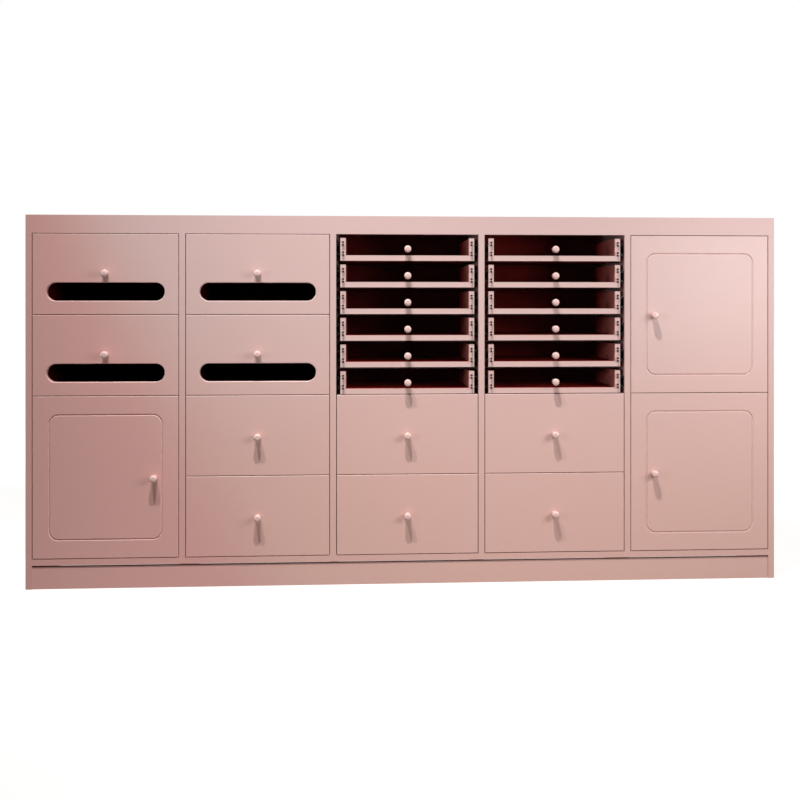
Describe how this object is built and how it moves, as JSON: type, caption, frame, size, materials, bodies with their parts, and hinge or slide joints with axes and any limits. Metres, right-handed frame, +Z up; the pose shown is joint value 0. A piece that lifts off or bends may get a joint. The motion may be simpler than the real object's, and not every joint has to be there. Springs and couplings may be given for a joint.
{
  "type": "nail polish display cabinet",
  "caption": "Long painted display cabinet on a plinth, with slotted drawers, clear-fronted display trays, plain drawers and hinged doors.",
  "frame": {"origin": "on the floor, under the middle of the whole, knobs included", "axes": "+X to the viewer's right, +Y from the fronts to the back, +Z up"},
  "size_m": [2.248, 0.478, 1.104],
  "materials": {
    "pink_lacquer": "satin pink lacquer on board",
    "box_board": "pink lacquer on board, with plated slide members",
    "inner_board": "pink lacquer on board",
    "back_board": "thin painted board",
    "clear_acrylic": "clear polished acrylic sheet",
    "plated_steel": "zinc and nickel plating"
  },
  "bodies": {
    "cabinet": {"side_panels": "pink_lacquer", "dividers": "pink_lacquer", "top_panel": "pink_lacquer", "top_rail": "pink_lacquer", "bottom_panel": "pink_lacquer", "back_panel": "back_board", "plinth": "pink_lacquer", "slide_channels": "plated_steel", "hinge_arms": "plated_steel", "shelves": "inner_board"},
    "bay1_slotted_drawer1": {"bay1_slotted_drawer1_front": "pink_lacquer", "bay1_slotted_drawer1_box": "box_board"},
    "bay1_slotted_drawer2": {"bay1_slotted_drawer2_front": "pink_lacquer", "bay1_slotted_drawer2_box": "box_board"},
    "bay1_door": {"bay1_door_panel": "pink_lacquer", "bay1_door_hinge_cups": "plated_steel"},
    "bay2_slotted_drawer1": {"bay2_slotted_drawer1_front": "pink_lacquer", "bay2_slotted_drawer1_box": "box_board"},
    "bay2_slotted_drawer2": {"bay2_slotted_drawer2_front": "pink_lacquer", "bay2_slotted_drawer2_box": "box_board"},
    "bay2_drawer3": {"bay2_drawer3_front": "pink_lacquer", "bay2_drawer3_box": "box_board"},
    "bay2_drawer4": {"bay2_drawer4_front": "pink_lacquer", "bay2_drawer4_box": "box_board"},
    "bay3_tray1": {"bay3_tray1_window": "clear_acrylic", "bay3_tray1_box": "box_board"},
    "bay3_tray2": {"bay3_tray2_window": "clear_acrylic", "bay3_tray2_box": "box_board"},
    "bay3_tray3": {"bay3_tray3_window": "clear_acrylic", "bay3_tray3_box": "box_board"},
    "bay3_tray4": {"bay3_tray4_window": "clear_acrylic", "bay3_tray4_box": "box_board"},
    "bay3_tray5": {"bay3_tray5_window": "clear_acrylic", "bay3_tray5_box": "box_board"},
    "bay3_tray6": {"bay3_tray6_window": "clear_acrylic", "bay3_tray6_box": "box_board"},
    "bay3_drawer3": {"bay3_drawer3_front": "pink_lacquer", "bay3_drawer3_box": "box_board"},
    "bay3_drawer4": {"bay3_drawer4_front": "pink_lacquer", "bay3_drawer4_box": "box_board"},
    "bay4_tray1": {"bay4_tray1_window": "clear_acrylic", "bay4_tray1_box": "box_board"},
    "bay4_tray2": {"bay4_tray2_window": "clear_acrylic", "bay4_tray2_box": "box_board"},
    "bay4_tray3": {"bay4_tray3_window": "clear_acrylic", "bay4_tray3_box": "box_board"},
    "bay4_tray4": {"bay4_tray4_window": "clear_acrylic", "bay4_tray4_box": "box_board"},
    "bay4_tray5": {"bay4_tray5_window": "clear_acrylic", "bay4_tray5_box": "box_board"},
    "bay4_tray6": {"bay4_tray6_window": "clear_acrylic", "bay4_tray6_box": "box_board"},
    "bay4_drawer3": {"bay4_drawer3_front": "pink_lacquer", "bay4_drawer3_box": "box_board"},
    "bay4_drawer4": {"bay4_drawer4_front": "pink_lacquer", "bay4_drawer4_box": "box_board"},
    "bay5_upper_door": {"bay5_upper_door_panel": "pink_lacquer", "bay5_upper_door_hinge_cups": "plated_steel"},
    "bay5_lower_door": {"bay5_lower_door_panel": "pink_lacquer", "bay5_lower_door_hinge_cups": "plated_steel"}
  },
  "joints": [
    {"name": "bay1_slotted_drawer1_slide", "type": "slide", "parent": "cabinet", "child": "bay1_slotted_drawer1", "axis": [0, -1, 0], "range_m": [0, 0.3]},
    {"name": "bay1_slotted_drawer2_slide", "type": "slide", "parent": "cabinet", "child": "bay1_slotted_drawer2", "axis": [0, -1, 0], "range_m": [0, 0.3]},
    {"name": "bay1_door_swing", "type": "hinge", "parent": "cabinet", "child": "bay1_door", "pos_m": [-1.104, -0.211, 0.329], "axis": [0, 0, -1], "range_deg": [0, 105]},
    {"name": "bay2_slotted_drawer1_slide", "type": "slide", "parent": "cabinet", "child": "bay2_slotted_drawer1", "axis": [0, -1, 0], "range_m": [0, 0.3]},
    {"name": "bay2_slotted_drawer2_slide", "type": "slide", "parent": "cabinet", "child": "bay2_slotted_drawer2", "axis": [0, -1, 0], "range_m": [0, 0.3]},
    {"name": "bay2_drawer3_slide", "type": "slide", "parent": "cabinet", "child": "bay2_drawer3", "axis": [0, -1, 0], "range_m": [0, 0.3]},
    {"name": "bay2_drawer4_slide", "type": "slide", "parent": "cabinet", "child": "bay2_drawer4", "axis": [0, -1, 0], "range_m": [0, 0.3]},
    {"name": "bay3_tray1_slide", "type": "slide", "parent": "cabinet", "child": "bay3_tray1", "axis": [0, -1, 0], "range_m": [0, 0.3]},
    {"name": "bay3_tray2_slide", "type": "slide", "parent": "cabinet", "child": "bay3_tray2", "axis": [0, -1, 0], "range_m": [0, 0.3]},
    {"name": "bay3_tray3_slide", "type": "slide", "parent": "cabinet", "child": "bay3_tray3", "axis": [0, -1, 0], "range_m": [0, 0.3]},
    {"name": "bay3_tray4_slide", "type": "slide", "parent": "cabinet", "child": "bay3_tray4", "axis": [0, -1, 0], "range_m": [0, 0.3]},
    {"name": "bay3_tray5_slide", "type": "slide", "parent": "cabinet", "child": "bay3_tray5", "axis": [0, -1, 0], "range_m": [0, 0.3]},
    {"name": "bay3_tray6_slide", "type": "slide", "parent": "cabinet", "child": "bay3_tray6", "axis": [0, -1, 0], "range_m": [0, 0.3]},
    {"name": "bay3_drawer3_slide", "type": "slide", "parent": "cabinet", "child": "bay3_drawer3", "axis": [0, -1, 0], "range_m": [0, 0.3]},
    {"name": "bay3_drawer4_slide", "type": "slide", "parent": "cabinet", "child": "bay3_drawer4", "axis": [0, -1, 0], "range_m": [0, 0.3]},
    {"name": "bay4_tray1_slide", "type": "slide", "parent": "cabinet", "child": "bay4_tray1", "axis": [0, -1, 0], "range_m": [0, 0.3]},
    {"name": "bay4_tray2_slide", "type": "slide", "parent": "cabinet", "child": "bay4_tray2", "axis": [0, -1, 0], "range_m": [0, 0.3]},
    {"name": "bay4_tray3_slide", "type": "slide", "parent": "cabinet", "child": "bay4_tray3", "axis": [0, -1, 0], "range_m": [0, 0.3]},
    {"name": "bay4_tray4_slide", "type": "slide", "parent": "cabinet", "child": "bay4_tray4", "axis": [0, -1, 0], "range_m": [0, 0.3]},
    {"name": "bay4_tray5_slide", "type": "slide", "parent": "cabinet", "child": "bay4_tray5", "axis": [0, -1, 0], "range_m": [0, 0.3]},
    {"name": "bay4_tray6_slide", "type": "slide", "parent": "cabinet", "child": "bay4_tray6", "axis": [0, -1, 0], "range_m": [0, 0.3]},
    {"name": "bay4_drawer3_slide", "type": "slide", "parent": "cabinet", "child": "bay4_drawer3", "axis": [0, -1, 0], "range_m": [0, 0.3]},
    {"name": "bay4_drawer4_slide", "type": "slide", "parent": "cabinet", "child": "bay4_drawer4", "axis": [0, -1, 0], "range_m": [0, 0.3]},
    {"name": "bay5_upper_door_swing", "type": "hinge", "parent": "cabinet", "child": "bay5_upper_door", "pos_m": [1.104, -0.211, 0.809], "axis": [0, 0, 1], "range_deg": [0, 105]},
    {"name": "bay5_lower_door_swing", "type": "hinge", "parent": "cabinet", "child": "bay5_lower_door", "pos_m": [1.104, -0.211, 0.329], "axis": [0, 0, 1], "range_deg": [0, 105]}
  ]
}
